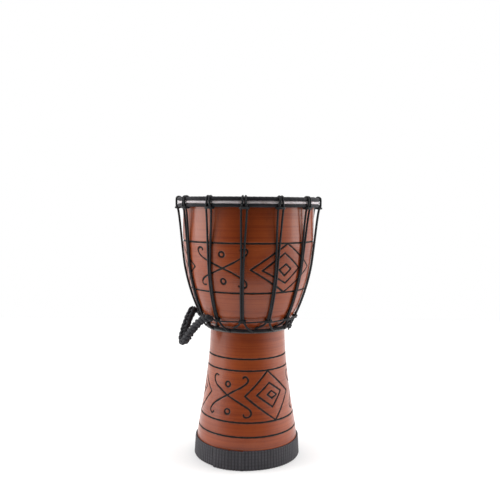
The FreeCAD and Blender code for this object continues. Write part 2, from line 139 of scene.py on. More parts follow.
def nurbs_line(points, per_span=10):
    """Points read from an open NURBS spline of order 3 with these control points."""
    data = bpy.data.curves.new("route", "CURVE")
    data.dimensions = "3D"
    spline = data.splines.new("NURBS")
    spline.points.add(len(points) - 1)
    for p, at in zip(spline.points, points):
        p.co = (*at, 1.0)
    spline.order_u = 3
    spline.use_endpoint_u = True
    spline.resolution_u = per_span
    obj = bpy.data.objects.new("route", data)
    bpy.context.scene.collection.objects.link(obj)
    mesh = bpy.data.meshes.new_from_object(obj)
    line = np.array([v.co[:] for v in mesh.vertices])
    bpy.data.objects.remove(obj)
    bpy.data.curves.remove(data)
    bpy.data.meshes.remove(mesh)
    return line


def even(line, step):
    """The same line with its points about a step apart, and how far along it each of them is."""
    at = np.concatenate([[0.0], np.cumsum(np.linalg.norm(np.diff(line, axis=0), axis=1))])
    want = np.linspace(0, at[-1], max(3, int(round(at[-1] / step)) + 1))
    return np.stack([np.interp(want, at, line[:, k]) for k in range(3)], axis=1), want


def frames(line):
    """Tangent, side and up vectors along a line, turning as little as they can."""
    t = np.gradient(line, axis=0)
    t /= np.linalg.norm(t, axis=1)[:, None]
    side = np.zeros_like(t)
    start = np.cross(t[0], [0.0, 0.0, 1.0])
    if np.linalg.norm(start) < 0.1:
        start = np.cross(t[0], [1.0, 0.0, 0.0])
    side[0] = start / np.linalg.norm(start)
    for i in range(1, len(line)):
        s = side[i - 1] - t[i] * np.dot(side[i - 1], t[i])
        side[i] = s / np.linalg.norm(s)
    return t, side, np.cross(t, side)


def tube_mesh(name, line, along, radius, sides, shape, scale=1.0):
    """A tube with rounded ends about a line. shape(along, angle) is a factor on its radius."""
    t, side, up = frames(line)
    angle = np.linspace(0, TURN, sides, endpoint=False)
    r = radius * shape(along[:, None], angle[None, :]) * np.broadcast_to(scale, along.shape)[:, None]
    ring = np.cos(angle)[None, :, None] * side[:, None, :] + np.sin(angle)[None, :, None] * up[:, None, :]
    points = line[:, None, :] + r[:, :, None] * ring
    ends = []
    for k, out in ((0, -1.0), (-1, 1.0)):
        centre = line[k][None, :]
        rows = [(points[k] - centre) * f + centre + t[k] * out * radius * g for f, g in (
            (0.01, 0.35), (0.55, 0.3), (0.87, 0.15))]
        ends.append(rows if k == 0 else rows[::-1])
    points = np.concatenate([np.array(ends[0]), points, np.array(ends[1])])
    along = np.concatenate([along[0] - [0.3, 0.2, 0.1], along, along[-1] + [0.1, 0.2, 0.3]])
    return grid_mesh(name, points, uv=(along * MM, np.linspace(0, 1, sides + 1)))


def braid(pitch, ends, depth):
    """The radius factor of a braided cord: ridges that cross as they run along it."""
    def shape(along, angle):
        a = TURN * along / pitch
        weave = np.abs(np.cos((a + ends * angle) / 2) * np.cos((a - ends * angle) / 2))
        return 1 - depth + 1.6 * depth * weave
    return shape


def join(name, objects):
    """One mesh object from several."""
    for o in bpy.context.selected_objects:
        o.select_set(False)
    for o in objects:
        o.select_set(True)
    bpy.context.view_layer.objects.active = objects[0]
    bpy.ops.object.join()
    objects[0].name = name
    objects[0].data.name = name
    return objects[0]


def finish_piece(obj, material, body, slot, *nodes):
    """Gives a piece its material and the body it rides on, and hides the CAD nodes it stands for. Its slot
    is not used.
    """
    obj.data.materials.clear()
    obj.data.materials.append(material)
    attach(obj, body)
    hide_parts(*nodes)
    return obj


# ---------------------------------------------------------------- materials
class Shader:
    """A small builder for node materials."""

    def __init__(self, name, **plain):
        self.material = bpy.data.materials.new(name)
        self.material.use_nodes = True
        self.tree = self.material.node_tree
        self.bsdf = self.tree.nodes["Principled BSDF"]
        for key, value in plain.items():
            self.bsdf.inputs[key.replace("_", " ")].default_value = value

    def node(self, kind, **settings):
        n = self.tree.nodes.new("ShaderNode" + kind)
        for key, value in settings.items():
            setattr(n, key, value)
        return n

    def put(self, socket, value):
        if isinstance(value, bpy.types.NodeSocket):
            self.tree.links.new(value, socket)
        else:
            socket.default_value = value

    def math(self, operation, a, b=0.0, clamp=False):
        n = self.node("Math", operation=operation, use_clamp=clamp)
        self.put(n.inputs[0], a)
        self.put(n.inputs[1], b)
        return n.outputs[0]

    def coords(self, scale=(1, 1, 1)):
        tex = self.node("TexCoord")
        m = self.node("Mapping")
        m.inputs["Scale"].default_value = scale
        self.tree.links.new(tex.outputs["Object"], m.inputs["Vector"])
        return m.outputs["Vector"]

    def noise(self, vector, scale, detail=4.0, rough=0.55, distortion=0.0):
        n = self.node("TexNoise")
        self.put(n.inputs["Vector"], vector)
        n.inputs["Scale"].default_value = scale
        n.inputs["Detail"].default_value = detail
        n.inputs["Roughness"].default_value = rough
        n.inputs["Distortion"].default_value = distortion
        return n.outputs["Fac"]

    def ramp(self, fac, stops):
        n = self.node("ValToRGB")
        elements = n.color_ramp.elements
        while len(elements) < len(stops):
            elements.new(0.5)
        for e, (at, colour) in zip(elements, stops):
            e.position = at
            e.color = (*colour, 1.0)
        self.put(n.inputs["Fac"], fac)
        return n.outputs["Color"]

    def grey(self, fac, low, high, out_low, out_high):
        n = self.node("MapRange")
        self.put(n.inputs["Value"], fac)
        for key, value in zip(("From Min", "From Max", "To Min", "To Max"), (low, high, out_low, out_high)):
            n.inputs[key].default_value = value
        return n.outputs["Result"]

    def mix(self, fac, a, b, blend="MIX"):
        n = self.node("Mix", data_type="RGBA", blend_type=blend)
        self.put(n.inputs[0], fac)
        self.put(n.inputs[6], a if isinstance(a, bpy.types.NodeSocket) else (*a, 1.0))
        self.put(n.inputs[7], b if isinstance(b, bpy.types.NodeSocket) else (*b, 1.0))
        return n.outputs[2]

    def colour(self, value):
        self.put(self.bsdf.inputs["Base Color"], value)

    def rough(self, value):
        self.put(self.bsdf.inputs["Roughness"], value)

    def bump(self, height, strength, distance, before=None):
        n = self.node("Bump")
        self.put(n.inputs["Height"], height)
        n.inputs["Strength"].default_value = strength
        n.inputs["Distance"].default_value = distance
        if before is not None:
            self.put(n.inputs["Normal"], before)
        self.put(self.bsdf.inputs["Normal"], n.outputs["Normal"])
        return n.outputs["Normal"]

    def uv(self):
        n = self.node("UVMap", uv_map="along")
        s = self.node("SeparateXYZ")
        self.tree.links.new(n.outputs["UV"], s.inputs[0])
        return s.outputs["X"], s.outputs["Y"]

    def attribute(self, name):
        return self.node("Attribute", attribute_name=name).outputs["Fac"]


def wood_material():
    """Red-brown stained wood under satin varnish, with the fine rings that turning leaves."""
    m = Shader("varnished_wood", Coat_Weight=0.4, Coat_Roughness=0.16, Specular_IOR_Level=0.25)
    streak = m.noise(m.coords((6, 6, 420)), 1.0, 5, 0.6)
    broad = m.noise(m.coords((4, 4, 60)), 1.0, 4, 0.55, 0.2)
    blotch = m.noise(m.coords((9, 9, 14)), 1.0, 3, 0.5, 0.4)
    pores = m.noise(m.coords((900, 900, 120)), 1.0, 2, 0.5)
    base = m.ramp(blotch, ((0.25, (0.205, 0.032, 0.0055)), (0.5, (0.265, 0.047, 0.0085)),
                           (0.8, (0.335, 0.071, 0.015))))
    lines = m.ramp(streak, ((0.3, (0.72, 0.62, 0.56)), (0.5, (1, 1, 1)), (0.72, (1.15, 1.2, 1.25))))
    bands = m.ramp(broad, ((0.3, (0.86, 0.8, 0.76)), (0.55, (1, 1, 1)), (0.8, (1.1, 1.12, 1.16))))
    colour = m.mix(0.8, base, lines, "MULTIPLY")
    colour = m.mix(0.7, colour, bands, "MULTIPLY")
    colour = m.mix(m.grey(pores, 0.62, 0.78, 0.0, 0.35), colour, (0.05, 0.012, 0.005))
    cut = m.attribute("cut")
    worn = m.noise(m.coords((160, 160, 160)), 1.0, 3, 0.6)
    paint = m.mix(m.grey(worn, 0.45, 0.75, 0.0, 0.5), (0.008, 0.009, 0.009), (0.035, 0.034, 0.03))
    m.colour(m.mix(cut, colour, paint))
    m.rough(m.math("ADD", m.grey(streak, 0.3, 0.7, 0.4, 0.3), m.math("MULTIPLY", cut, 0.45)))
    m.put(m.bsdf.inputs["Coat Weight"], m.grey(cut, 0.0, 1.0, 0.4, 0.0))
    first = m.bump(streak, 0.22, 0.0003)
    m.bump(pores, 0.12, 0.0002, first)
    return m.material


def hide_material():
    """Shaved goatskin, clouded and faintly veined."""
    m = Shader("goatskin", Subsurface_Weight=0.25, Specular_IOR_Level=0.35)
    m.bsdf.inputs["Subsurface Radius"].default_value = (0.004, 0.003, 0.003)
    cloud = m.noise(m.coords((14, 14, 14)), 1.0, 5, 0.6, 0.6)
    fine = m.noise(m.coords((420, 420, 420)), 1.0, 3, 0.6)
    vein = m.noise(m.coords((30, 55, 30)), 1.0, 7, 0.7, 1.6)
    base = m.ramp(cloud, ((0.3, (0.47, 0.41, 0.41)), (0.55, (0.58, 0.53, 0.55)), (0.8, (0.66, 0.62, 0.65))))
    colour = m.mix(m.grey(vein, 0.5, 0.66, 0.0, 0.45), base, (0.36, 0.28, 0.24))
    colour = m.mix(m.grey(fine, 0.6, 0.74, 0.0, 0.4), colour, (0.33, 0.26, 0.22))
    m.colour(colour)
    m.rough(m.grey(cloud, 0.3, 0.7, 0.5, 0.66))
    first = m.bump(vein, 0.2, 0.0006)
    m.bump(fine, 0.2, 0.0002, first)
    return m.material


def cord_material(name, pitch, ends, painted_shade, painted_highlight, rough=0.62):
    """Braided cord: crossing yarns from the mesh's own length and girth, with painted shade in their hollows
    and painted highlight on their crowns.
    """
    m = Shader(name, Specular_IOR_Level=0.25, Sheen_Weight=0.05, Sheen_Roughness=0.5)
    along, girth = m.uv()
    a = m.math("MULTIPLY", along, TURN / (pitch * MM))
    b = m.math("MULTIPLY", girth, TURN * ends)
    one = m.math("SINE", m.math("ADD", a, b))
    two = m.math("SINE", m.math("SUBTRACT", a, b))
    weave = m.math("ABSOLUTE", m.math("MULTIPLY", one, two))
    lint = m.noise(m.coords((1500, 1500, 1500)), 1.0, 2, 0.6)
    worn = m.noise(m.coords((60, 60, 60)), 1.0, 3, 0.6)
    height = m.math("ADD", weave, m.math("MULTIPLY", lint, 0.5))
    # painted shade and highlight: the colour follows the braid's height, darker in its hollows and lighter
    # on its crowns
    colour = m.mix(m.grey(height, 0.1, 1.2, 0.0, 1.0), painted_shade, painted_highlight)
    colour = m.mix(m.grey(worn, 0.5, 0.75, 0.0, 0.35), colour, tuple(c * 1.9 for c in painted_highlight))
    m.colour(colour)
    m.rough(m.grey(height, 0.0, 1.3, rough + 0.12, rough - 0.08))
    m.bump(height, 0.6, 0.00018)
    return m.material


def cloth_material():
    """Black cotton strip, plain woven and worn, with painted shade in the weave's hollows and painted
    highlight on its raised crossings.
    """
    m = Shader("wound_cloth", Specular_IOR_Level=0.2, Sheen_Weight=0.06, Sheen_Roughness=0.5)
    along, girth = m.uv()
    warp = m.math("SINE", m.math("MULTIPLY", along, TURN / (0.7 * MM)))
    weft = m.math("SINE", m.math("MULTIPLY", girth, TURN * 22))
    weave = m.math("MULTIPLY", warp, weft)
    worn = m.noise(m.coords((35, 35, 35)), 1.0, 4, 0.6)
    lint = m.noise(m.coords((1300, 1300, 1300)), 1.0, 2, 0.6)
    # painted shade and highlight: the colour follows the weave's height, darker in its hollows and lighter
    # where threads cross over
    colour = m.mix(m.grey(weave, -1, 1, 0.2, 0.8), (0.004, 0.004, 0.006), (0.014, 0.013, 0.018))
    colour = m.mix(m.grey(worn, 0.5, 0.75, 0.0, 0.5), colour, (0.03, 0.028, 0.036))
    m.colour(colour)
    m.rough(m.grey(lint, 0.3, 0.7, 0.6, 0.8))
    m.bump(m.math("ADD", weave, lint), 0.5, 0.00012)
    return m.material


def rubber_material():
    """Dusty dark rubber, with painted shade in its grooves."""
    m = Shader("ribbed_rubber", Specular_IOR_Level=0.45)
    dust = m.noise(m.coords((45, 45, 45)), 1.0, 4, 0.6)
    grain = m.noise(m.coords((1400, 1400, 1400)), 1.0, 2, 0.6)
    groove = m.attribute("groove")
    colour = m.ramp(dust, ((0.3, (0.026, 0.024, 0.03)), (0.7, (0.05, 0.047, 0.056))))
    # painted shade: the grooves are coloured near black
    colour = m.mix(groove, colour, (0.009, 0.008, 0.011))
    m.colour(colour)
    m.rough(m.grey(dust, 0.3, 0.7, 0.55, 0.7))
    m.bump(grain, 0.35, 0.00015)
    return m.material


def steel_material():
    """Steel rod under worn black enamel."""
    m = Shader("enamelled_steel", Metallic=0.0, Specular_IOR_Level=0.5, Coat_Weight=0.4, Coat_Roughness=0.2)
    spots = m.noise(m.coords((120, 120, 120)), 1.0, 5, 0.6)
    m.colour(m.ramp(spots, ((0.4, (0.012, 0.012, 0.013)), (0.75, (0.05, 0.045, 0.04)))))
    m.rough(m.grey(spots, 0.3, 0.7, 0.3, 0.5))
    m.bump(spots, 0.15, 0.0001)
    return m.material


# ---------------------------------------------------------------- camera, floor and light
CAMERA_AT, CAMERA_LENS = (0, -0.985, 0.388), 45.36
CAMERA_PITCH, CAMERA_YAW, CAMERA_ROLL = -3.95, -0.16, 0.46  # degrees
FLOOR_NEAR, FLOOR_FAR, FLOOR_HALF = -0.56, 1.15, 1.3
# The world's light falls off towards the front: two values of the direction's y, and the strength at each
WORLD_FRONT = (-0.9, -0.25, 0.05, 1.0)
LIGHTS = (
    ("softbox_left", (-1.3, -0.1, 0.7), (0.9, 1.4), 12.0, (1.0, 0.98, 0.97)),
    ("softbox_right", (1.3, 0.1, 0.7), (0.9, 1.4), 12.0, (1.0, 0.98, 0.97)),
    ("softbox_top", (0.0, 0.2, 1.7), (1.6, 1.2), 13.0, (1.0, 1.0, 1.0)),
)


def set_stage():
    """The camera, a pale floor and a white studio."""
    data = bpy.data.cameras.new("camera")
    data.lens, data.sensor_width = CAMERA_LENS, 36.0
    camera = bpy.data.objects.new("camera", data)
    bpy.context.scene.collection.objects.link(camera)
    yaw = Matrix.Rotation(math.radians(CAMERA_YAW), 4, "Z")
    pitch = Matrix.Rotation(math.radians(90 + CAMERA_PITCH), 4, "X")
    roll = Matrix.Rotation(math.radians(CAMERA_ROLL), 4, "Z")
    camera.matrix_world = Matrix.Translation(CAMERA_AT) @ (yaw @ pitch) @ roll
    bpy.context.scene.camera = camera
    bpy.context.scene.view_settings.view_transform = "Standard"

    corners = [(-FLOOR_HALF, FLOOR_NEAR, 0), (FLOOR_HALF, FLOOR_NEAR, 0),
               (FLOOR_HALF, FLOOR_FAR, 0), (-FLOOR_HALF, FLOOR_FAR, 0)]
    mesh = bpy.data.meshes.new("floor")
    mesh.from_pydata(corners, [], [(0, 1, 2, 3)])
    floor = bpy.data.objects.new("floor", mesh)
    bpy.context.scene.collection.objects.link(floor)
    m = Shader("pale_floor", Specular_IOR_Level=0.2)
    m.colour(m.ramp(m.noise(m.coords(), 3.0), ((0.3, (0.90, 0.90, 0.90)), (0.7, (0.93, 0.93, 0.93)))))
    m.rough(0.8)
    floor.data.materials.append(m.material)

    world = bpy.data.worlds.new("studio")
    bpy.context.scene.world = world
    world.use_nodes = True
    tree = world.node_tree
    background = tree.nodes["Background"]
    coords = tree.nodes.new("ShaderNodeTexCoord")
    parts = tree.nodes.new("ShaderNodeSeparateXYZ")
    front = tree.nodes.new("ShaderNodeMapRange")
    front.interpolation_type = "SMOOTHSTEP"
    for key, value in zip(("From Min", "From Max", "To Min", "To Max"), WORLD_FRONT):
        front.inputs[key].default_value = value
    path = tree.nodes.new("ShaderNodeLightPath")
    seen = tree.nodes.new("ShaderNodeMath")
    seen.operation = "MAXIMUM"
    tree.links.new(coords.outputs["Generated"], parts.inputs[0])
    tree.links.new(parts.outputs["Y"], front.inputs["Value"])
    tree.links.new(front.outputs["Result"], seen.inputs[0])
    tree.links.new(path.outputs["Is Camera Ray"], seen.inputs[1])
    tree.links.new(seen.outputs[0], background.inputs["Strength"])
    background.inputs["Color"].default_value = (1.0, 1.0, 1.0, 1.0)

    for name, at, size, power, colour in LIGHTS:
        lamp = bpy.data.lights.new(name, "AREA")
        lamp.shape = "RECTANGLE"
        lamp.size, lamp.size_y = size
        lamp.energy = power
        lamp.color = colour
        obj = bpy.data.objects.new(name, lamp)
        obj.location = at
        obj.rotation_euler = (Vector((0, 0, 0.2)) - Vector(at)).to_track_quat("-Z", "Y").to_euler()
        bpy.context.scene.collection.objects.link(obj)


# ---------------------------------------------------------------- shell, carved
ROUGH_OUTLINE = ((FOOT_GAP, FOOT_RADIUS), (BAND_HEIGHT, BAND_TOP_RADIUS), (53, 74.4), (104, 66.8),
                 (156, 60.6), (THROAT_Z, THROAT_RADIUS), (UNDERSIDE_Z, UNDERSIDE_RADIUS), (219, 70.6),
                 (235, 79.6), (260, 88.4), (290, 96), (324, 100.4), (362, HEAD_RADIUS),
                 (SHELL_TOP_Z, HEAD_RADIUS))  # height and radius
MOUTH = 94.5  # inside radius at the rim, before its small round
MOUTH_ROUND = 2.0
BOWL_BORE = ((92.5, 392), (91.5, 347), (86.0, 296), (75.4, 267), (60.0, 234), (47.0, 214),
             (THROAT_BORE, 206.5))
CUT_HALF, CUT_DEPTH, RING_HALF = 1.4, 1.0, 1.35
SECTOR = 120.0  # the carving repeats three times round
CROSS_AT, DIAMOND_AT = -24.0, 33.0  # middle angles of the two figures

# strokes as (angle, height) points, on the stem and on the bowl
STEM_CROSS = (
    ((-26.7, 106.4), (-37.0, 113.9), (-45.9, 118.9), (-50.6, 126.5), (-50.1, 131.8), (-46.7, 134.6),
     (-43.1, 133.3)),
    ((-26.7, 106.4), (-18.0, 112.6), (-7.4, 119.2), (0.1, 125.2), (1.9, 130.2), (-0.7, 134.4), (-3.8, 134.9),
     (-5.3, 133.0)),
    ((-26.7, 106.4), (-35.8, 99.7), (-46.6, 91.2), (-52.1, 82.7), (-51.3, 77.8), (-47.6, 75.1),
     (-45.7, 78.3)),
    ((-26.7, 106.4), (-16.0, 100.2), (-4.2, 92.7), (3.5, 87.0), (5.6, 82.0), (3.5, 77.1), (-0.6, 75.1),
     (-4.0, 77.0), (-4.3, 79.6)),
)
STEM_DIAMONDS = (
    ((-2.9, 106.2), (29.0, 142.4), (64.7, 105.9), (36.6, 68.6)),
    ((12.6, 107.1), (30.5, 124.4), (49.8, 109.3), (33.8, 88.3)),
    ((26.9, 107.2), (33.3, 112.1), (41.5, 105.2), (33.4, 101.0)),
)
STEM_DOTS = ((-26.5, 122.5), (-24.9, 82.5))
BOWL_CROSS = (
    ((-22.1, 299.9), (-30.0, 305.2), (-39.4, 311.9), (-45.2, 318.1), (-47.1, 324.7), (-44.7, 329.1),
     (-41.3, 328.2), (-41.1, 325.5)),
    ((-22.1, 299.9), (-29.5, 294.3), (-38.9, 287.4), (-43.9, 282.5), (-45.5, 277.1), (-43.9, 273.5),
     (-41.2, 273.9)),
    ((-22.1, 299.9), (-14.3, 306.1), (-6.5, 313.8), (-0.8, 320.4), (-0.4, 326.1), (-3.1, 328.5),
     (-6.4, 326.5)),
    ((-22.1, 299.9), (-14.6, 294.5), (-6.8, 287.2), (-1.4, 280.6), (-0.9, 273.8), (-4.0, 271.2),
     (-8.1, 274.5)),
)
BOWL_DIAMONDS = (
    ((2.0, 298.2), (33.8, 335.2), (66.0, 299.0), (34.9, 264.2)),
    ((12.2, 297.1), (31.8, 321.7), (49.7, 298.9), (35.0, 277.6)),
    ((27.2, 297.9), (33.7, 305.7), (39.3, 298.4), (33.1, 288.9)),
)
BOWL_DOTS = ((-22.4, 319.8), (-22.0, 280.6))
DOT_RADIUS = 3.9


def hermite(x, xp, fp):
    """A smooth curve through points, read at x."""
    slope = np.gradient(fp, xp)
    i = np.clip(np.searchsorted(xp, x) - 1, 0, len(xp) - 2)
    h = xp[i + 1] - xp[i]
    s = (x - xp[i]) / h
    a = (1 + 2 * s) * (1 - s) ** 2 * fp[i] + s * (1 - s) ** 2 * h * slope[i]
    return a + s * s * (3 - 2 * s) * fp[i + 1] + s * s * (s - 1) * h * slope[i + 1]


def outer_radius(z):
    """The turned outside of the CAD shell at some heights, its ring grooves left out."""
    co = np.array([v.co[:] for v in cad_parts["shell"].data.vertices]) / MM
    radius, height = np.hypot(co[:, 0], co[:, 1]), co[:, 2]
    rough_z, rough_r = np.array(ROUGH_OUTLINE).T
    keep = (np.abs(radius - np.interp(height, rough_z, rough_r)) < 2.2) & (height < 395.3)
    for groove in GROOVES:
        keep &= np.abs(height - groove) > 1.6
    out = np.zeros_like(z)
    stem, bowl = height <= THROAT_Z + 0.01, height >= UNDERSIDE_Z - 0.1
    for part, near in ((z <= THROAT_Z, stem), (z > THROAT_Z, bowl)):
        level = np.round(height[keep & near], 1)
        heights = np.unique(level)
        radii = np.array([radius[keep & near][level == h].mean() for h in heights])
        apart = np.concatenate([[True], np.diff(heights) > 0.9])
        out[part] = hermite(z[part], heights[apart], radii[apart])
    return out


def smooth_stroke(points):
    """A drawn stroke with its corners softened, as (angle, height) points."""
    p = np.array(points)
    for _ in range(2):
        q = 0.75 * p[:-1] + 0.25 * p[1:]
        r = 0.25 * p[:-1] + 0.75 * p[1:]
        p = np.concatenate([p[:1], np.stack([q, r], axis=1).reshape(-1, 2), p[-1:]])
    return p


def stroke_distance(theta, z, radius, strokes, middle, turn_by, rise):
    """Millimetres from surface points to the nearest stroke, the strokes repeated every sector."""
    place = (theta - middle + SECTOR / 2) / SECTOR
    repeat = np.floor(place).astype(int) % 3
    local = (place - np.floor(place) - 0.5) * SECTOR - np.array(turn_by)[repeat]
    height = z - np.array(rise)[repeat]
    scale = math.radians(1.0) * radius
    best = np.full(theta.shape, 99.0)
    for stroke in strokes:
        for a, b in zip(stroke[:-1], stroke[1:]):
            ax, bx = (a[0] - middle) * scale, (b[0] - middle) * scale
            px, py = local * scale - ax, height - a[1]
            dx, dy = bx - ax, b[1] - a[1]
            share = np.clip((px * dx + py * dy) / (dx * dx + dy * dy + 1e-9), 0, 1)
            best = np.minimum(best, np.hypot(px - share * dx, py - share * dy))
    return best


def ring_stroke(centre, radius_at):
    """A small circle as a stroke."""
    a = np.linspace(0, TURN, 19)
    return np.stack([centre[0] + np.degrees(DOT_RADIUS / radius_at) * np.cos(a),
                     centre[1] + DOT_RADIUS * np.sin(a)], axis=1)


def carving(theta, z, radius):
    """Distance from each surface point to the nearest cut line, less the half width of that line."""
    edge = np.full(theta.shape, 99.0)
    sets = (
        (STEM_CROSS, STEM_DOTS, STEM_DIAMONDS, 66.0, (64.0, 147.0)),
        (BOWL_CROSS, BOWL_DOTS, BOWL_DIAMONDS, 97.0, (259.0, 340.0)),
    )
    around = np.radians(theta)
    wobble = 0.12 * np.sin(around * 23 + z * 0.31) + 0.1 * np.sin(around * 41 - z * 0.53)
    for cross, dots, diamonds, r, (low, high) in sets:
        band = (z > low) & (z < high)
        crosses = [smooth_stroke(s) for s in cross] + [ring_stroke(c, r) for c in dots]
        closed = [np.array(d + d[:1]) for d in diamonds]
        for strokes, middle, shift, rise in ((crosses, CROSS_AT, (0, 1.1, -0.8), (0, 0.5, -0.6)),
                                             (closed, DIAMOND_AT, (0, -0.9, 0.7), (0, -0.4, 0.3))):
            d = stroke_distance(theta[band], z[band], radius[band], strokes, middle, shift, rise)
            edge[band] = np.minimum(edge[band], d - CUT_HALF * (1 + wobble[band]))
    for groove in RINGS:
        edge = np.minimum(edge, np.abs(z - groove) - RING_HALF * (1 + 0.6 * wobble))
    return edge


def make_shell():
    """The turned and carved shell, one skin from the foot over the rim and down the bore."""
    rows = list(np.arange(FOOT_GAP, 395.0, 1.7)) + [THROAT_Z, 206.3, 207.0, UNDERSIDE_Z]
    for low, high in ((65.0, 146.0), (260.0, 339.0)):
        rows = [z for z in rows if not low < z < high] + list(np.arange(low, high, 0.6))
    for groove in RINGS:
        rows = [z for z in rows if abs(z - groove) > 2.3] + list(np.arange(groove - 2.2, groove + 2.3, 0.4))
    z = np.array(sorted(rows))
    z = z[np.concatenate([[True], np.diff(z) > 0.1])]
    radius = outer_radius(z)
    neck = (z > THROAT_Z) & (z < UNDERSIDE_Z)
    radius[neck] = np.interp(z[neck], (THROAT_Z, UNDERSIDE_Z), (THROAT_RADIUS, UNDERSIDE_RADIUS))
    cols = 900
    theta = np.linspace(-180, 180, cols, endpoint=False)
    grid_t, grid_z = np.meshgrid(theta, z)
    grid_r = np.repeat(radius[:, None], cols, axis=1)
    edge = carving(grid_t, grid_z, grid_r)
    dip = CUT_DEPTH * np.sqrt(np.clip(-edge / CUT_HALF, 0, 1))
    lathe = 0.05 * np.sin(grid_z * 2.1 + 0.4 * np.sin(np.radians(grid_t) * 2))
    outer_r = grid_r - dip + lathe
    paint = np.clip(0.5 - edge / 0.5, 0, 1)
    rim = (HEAD_RADIUS - RIM_ROUND, SHELL_TOP_Z - RIM_ROUND)
    inner = [(rim[0] + RIM_ROUND * math.cos(a), rim[1] + RIM_ROUND * math.sin(a))
             for a in np.linspace(0, math.pi / 2, 8)]
    inner += [(MOUTH, SHELL_TOP_Z)]
    inner += [(MOUTH - MOUTH_ROUND * math.sin(a), SHELL_TOP_Z - MOUTH_ROUND + MOUTH_ROUND * math.cos(a))
              for a in np.linspace(0.3, math.pi / 2, 5)]
    inner += list(BOWL_BORE)
    inner += [(THROAT_BORE, z_at) for z_at in (THROAT_Z, THROAT_BORE_END + 0.5, THROAT_BORE_END)]
    flare, drop = FOOT_BORE - THROAT_BORE, THROAT_BORE_END - FOOT_GAP
    inner += [(THROAT_BORE + flare * s, THROAT_BORE_END - drop * s) for s in np.linspace(0, 1, 26)[1:]]
    inner_r, inner_z = np.array(inner).T
    all_r = np.concatenate([outer_r, np.repeat(inner_r[:, None], cols, axis=1)])
    all_z = np.concatenate([grid_z, np.repeat(inner_z[:, None], cols, axis=1)])
    angle = np.radians(np.repeat(theta[None, :], len(all_r), axis=0))
    points = np.stack([all_r * np.sin(angle), -all_r * np.cos(angle), all_z], axis=-1)
    obj = grid_mesh("shell_carved", points, wrap_u=True)
    cut = np.concatenate([paint, np.zeros((len(inner_r), cols))])
    layer = obj.data.attributes.new("cut", "FLOAT", "POINT")
    layer.data.foreach_set("value", cut.astype(np.float32).ravel())
    return finish_piece(obj, wood_material(), "drum", "carved_wood", "shell")


# ---------------------------------------------------------------- head and hoops
def make_head():
    """The hide: taut over the rim, with small pleats where it is rolled round the middle hoop."""
    low = SHELL_TOP_Z + REST_GAP
    high = low + SKIN
    centre = (HEAD_RADIUS - RIM_ROUND, SHELL_TOP_Z - RIM_ROUND)
    wall = HEAD_RADIUS + REST_GAP
    tight = HIDE_ROLL - SKIN

    def arc(middle, radius, start, end, count):
        a = np.radians(np.linspace(start, end, count))
        return [(middle[0] + radius * math.cos(t), middle[1] + radius * math.sin(t)) for t in a]
    roll = (FLESH_RADIUS, FLESH_Z)
    profile = [(r, high) for r in np.concatenate([[0.02], np.linspace(4, centre[0] - 1, 26)])]
    profile += arc(centre, RIM_ROUND + REST_GAP + SKIN, 90, 0, 9)
    profile += [(wall + SKIN, FLESH_Z - tight + 0.3), (wall + SKIN + 0.3, FLESH_Z - tight)]
    profile += arc(roll, tight, -90, 165, 16) + arc(roll, HIDE_ROLL, 165, -90, 26)
    profile += [(wall + 0.3, FLESH_Z - HIDE_ROLL), (wall, FLESH_Z - HIDE_ROLL + 0.3)]
    profile += arc(centre, RIM_ROUND + REST_GAP, 0, 90, 9) + [(60.0, low), (0.02, low)]
    r, z = np.array(profile).T
    cols = 720
    theta = np.linspace(0, TURN, cols, endpoint=False)
    out = np.clip((r - FLESH_RADIUS + 0.4) / HIDE_ROLL, 0, 1)[:, None]
    rng = np.random.default_rng(11)
    pleat = np.zeros(cols)
    for k, size in ((5, 0.10), (9, 0.10), (17, 0.09), (31, 0.10), (53, 0.09), (87, 0.07), (118, 0.05)):
        pleat += size * np.sin(k * theta + rng.uniform(0, TURN))
    grid_r = r[:, None] + out * (0.1 + pleat[None, :])
    lift = np.zeros(cols)
    for k, size in ((7, 0.12), (13, 0.1), (29, 0.08)):
        lift += size * np.sin(k * theta + rng.uniform(0, TURN))
    grid_z = z[:, None] + out * lift[None, :]
    flat = (z > high - 0.01)[:, None] * (r < 96)[:, None]
    slack = np.sin(3 * theta + 0.5)[None, :] * 0.04 * np.sin(np.pi * np.clip(r / 97, 0, 1))[:, None]
    grid_z = grid_z + flat * (slack - 0.04 * np.cos(np.pi * np.clip(r / 97, 0, 1) / 2)[:, None])
    points = np.stack([grid_r * np.sin(theta), -grid_r * np.cos(theta), grid_z], axis=-1)
    obj = grid_mesh("head_hide", points)
    return finish_piece(obj, hide_material(), "drum", "hide", "drum_skin")


def make_wound_hoop(name, radius, z, thick, pitch, start, node):
    """A hoop wound with a strip of dark cloth, each turn lapping the last."""
    count = int(TURN * radius / 0.75)
    turns = round(TURN * radius / pitch)
    theta = np.linspace(0, TURN, count, endpoint=False)
    sides = 20
    angle = np.linspace(0, TURN, sides, endpoint=False)
    phase = (turns * theta[:, None] / TURN + angle[None, :] / TURN + start) % 1.0
    lap = np.clip(phase / 0.12, 0, 1) * (1 - 0.75 * phase)
    crease = 0.02 * np.sin(5 * TURN * phase + 3 * theta[:, None])
    r = thick * (0.9 + 0.1 * lap + crease * 0.5)
    at_r = radius + r * np.cos(angle)[None, :]
    points = np.stack([at_r * np.sin(theta)[:, None], -at_r * np.cos(theta)[:, None],
                       z + r * np.sin(angle)[None, :]], axis=-1)
    along = np.linspace(0, TURN * radius, count + 1) * MM
    obj = grid_mesh(name, points, wrap_u=True, uv=(along, np.linspace(0, 1, sides + 1)))
    return finish_piece(obj, CLOTH, "drum", "hoop_cloth", node)


# ---------------------------------------------------------------- lacing and gather cord
def pair_angle(i):
    return FIRST_PAIR + 360 / PAIRS * i


def pair_foot(i):
    return pair_angle(i) + PAIR_LEAN + UNEVEN[i % PAIRS]


def strand_angle(i, z):
    share = max(0.0, (SKIRT_Z - z) / (SKIRT_Z - GATHER_Z))
    return pair_angle(i) + (pair_foot(i) - pair_angle(i)) * share


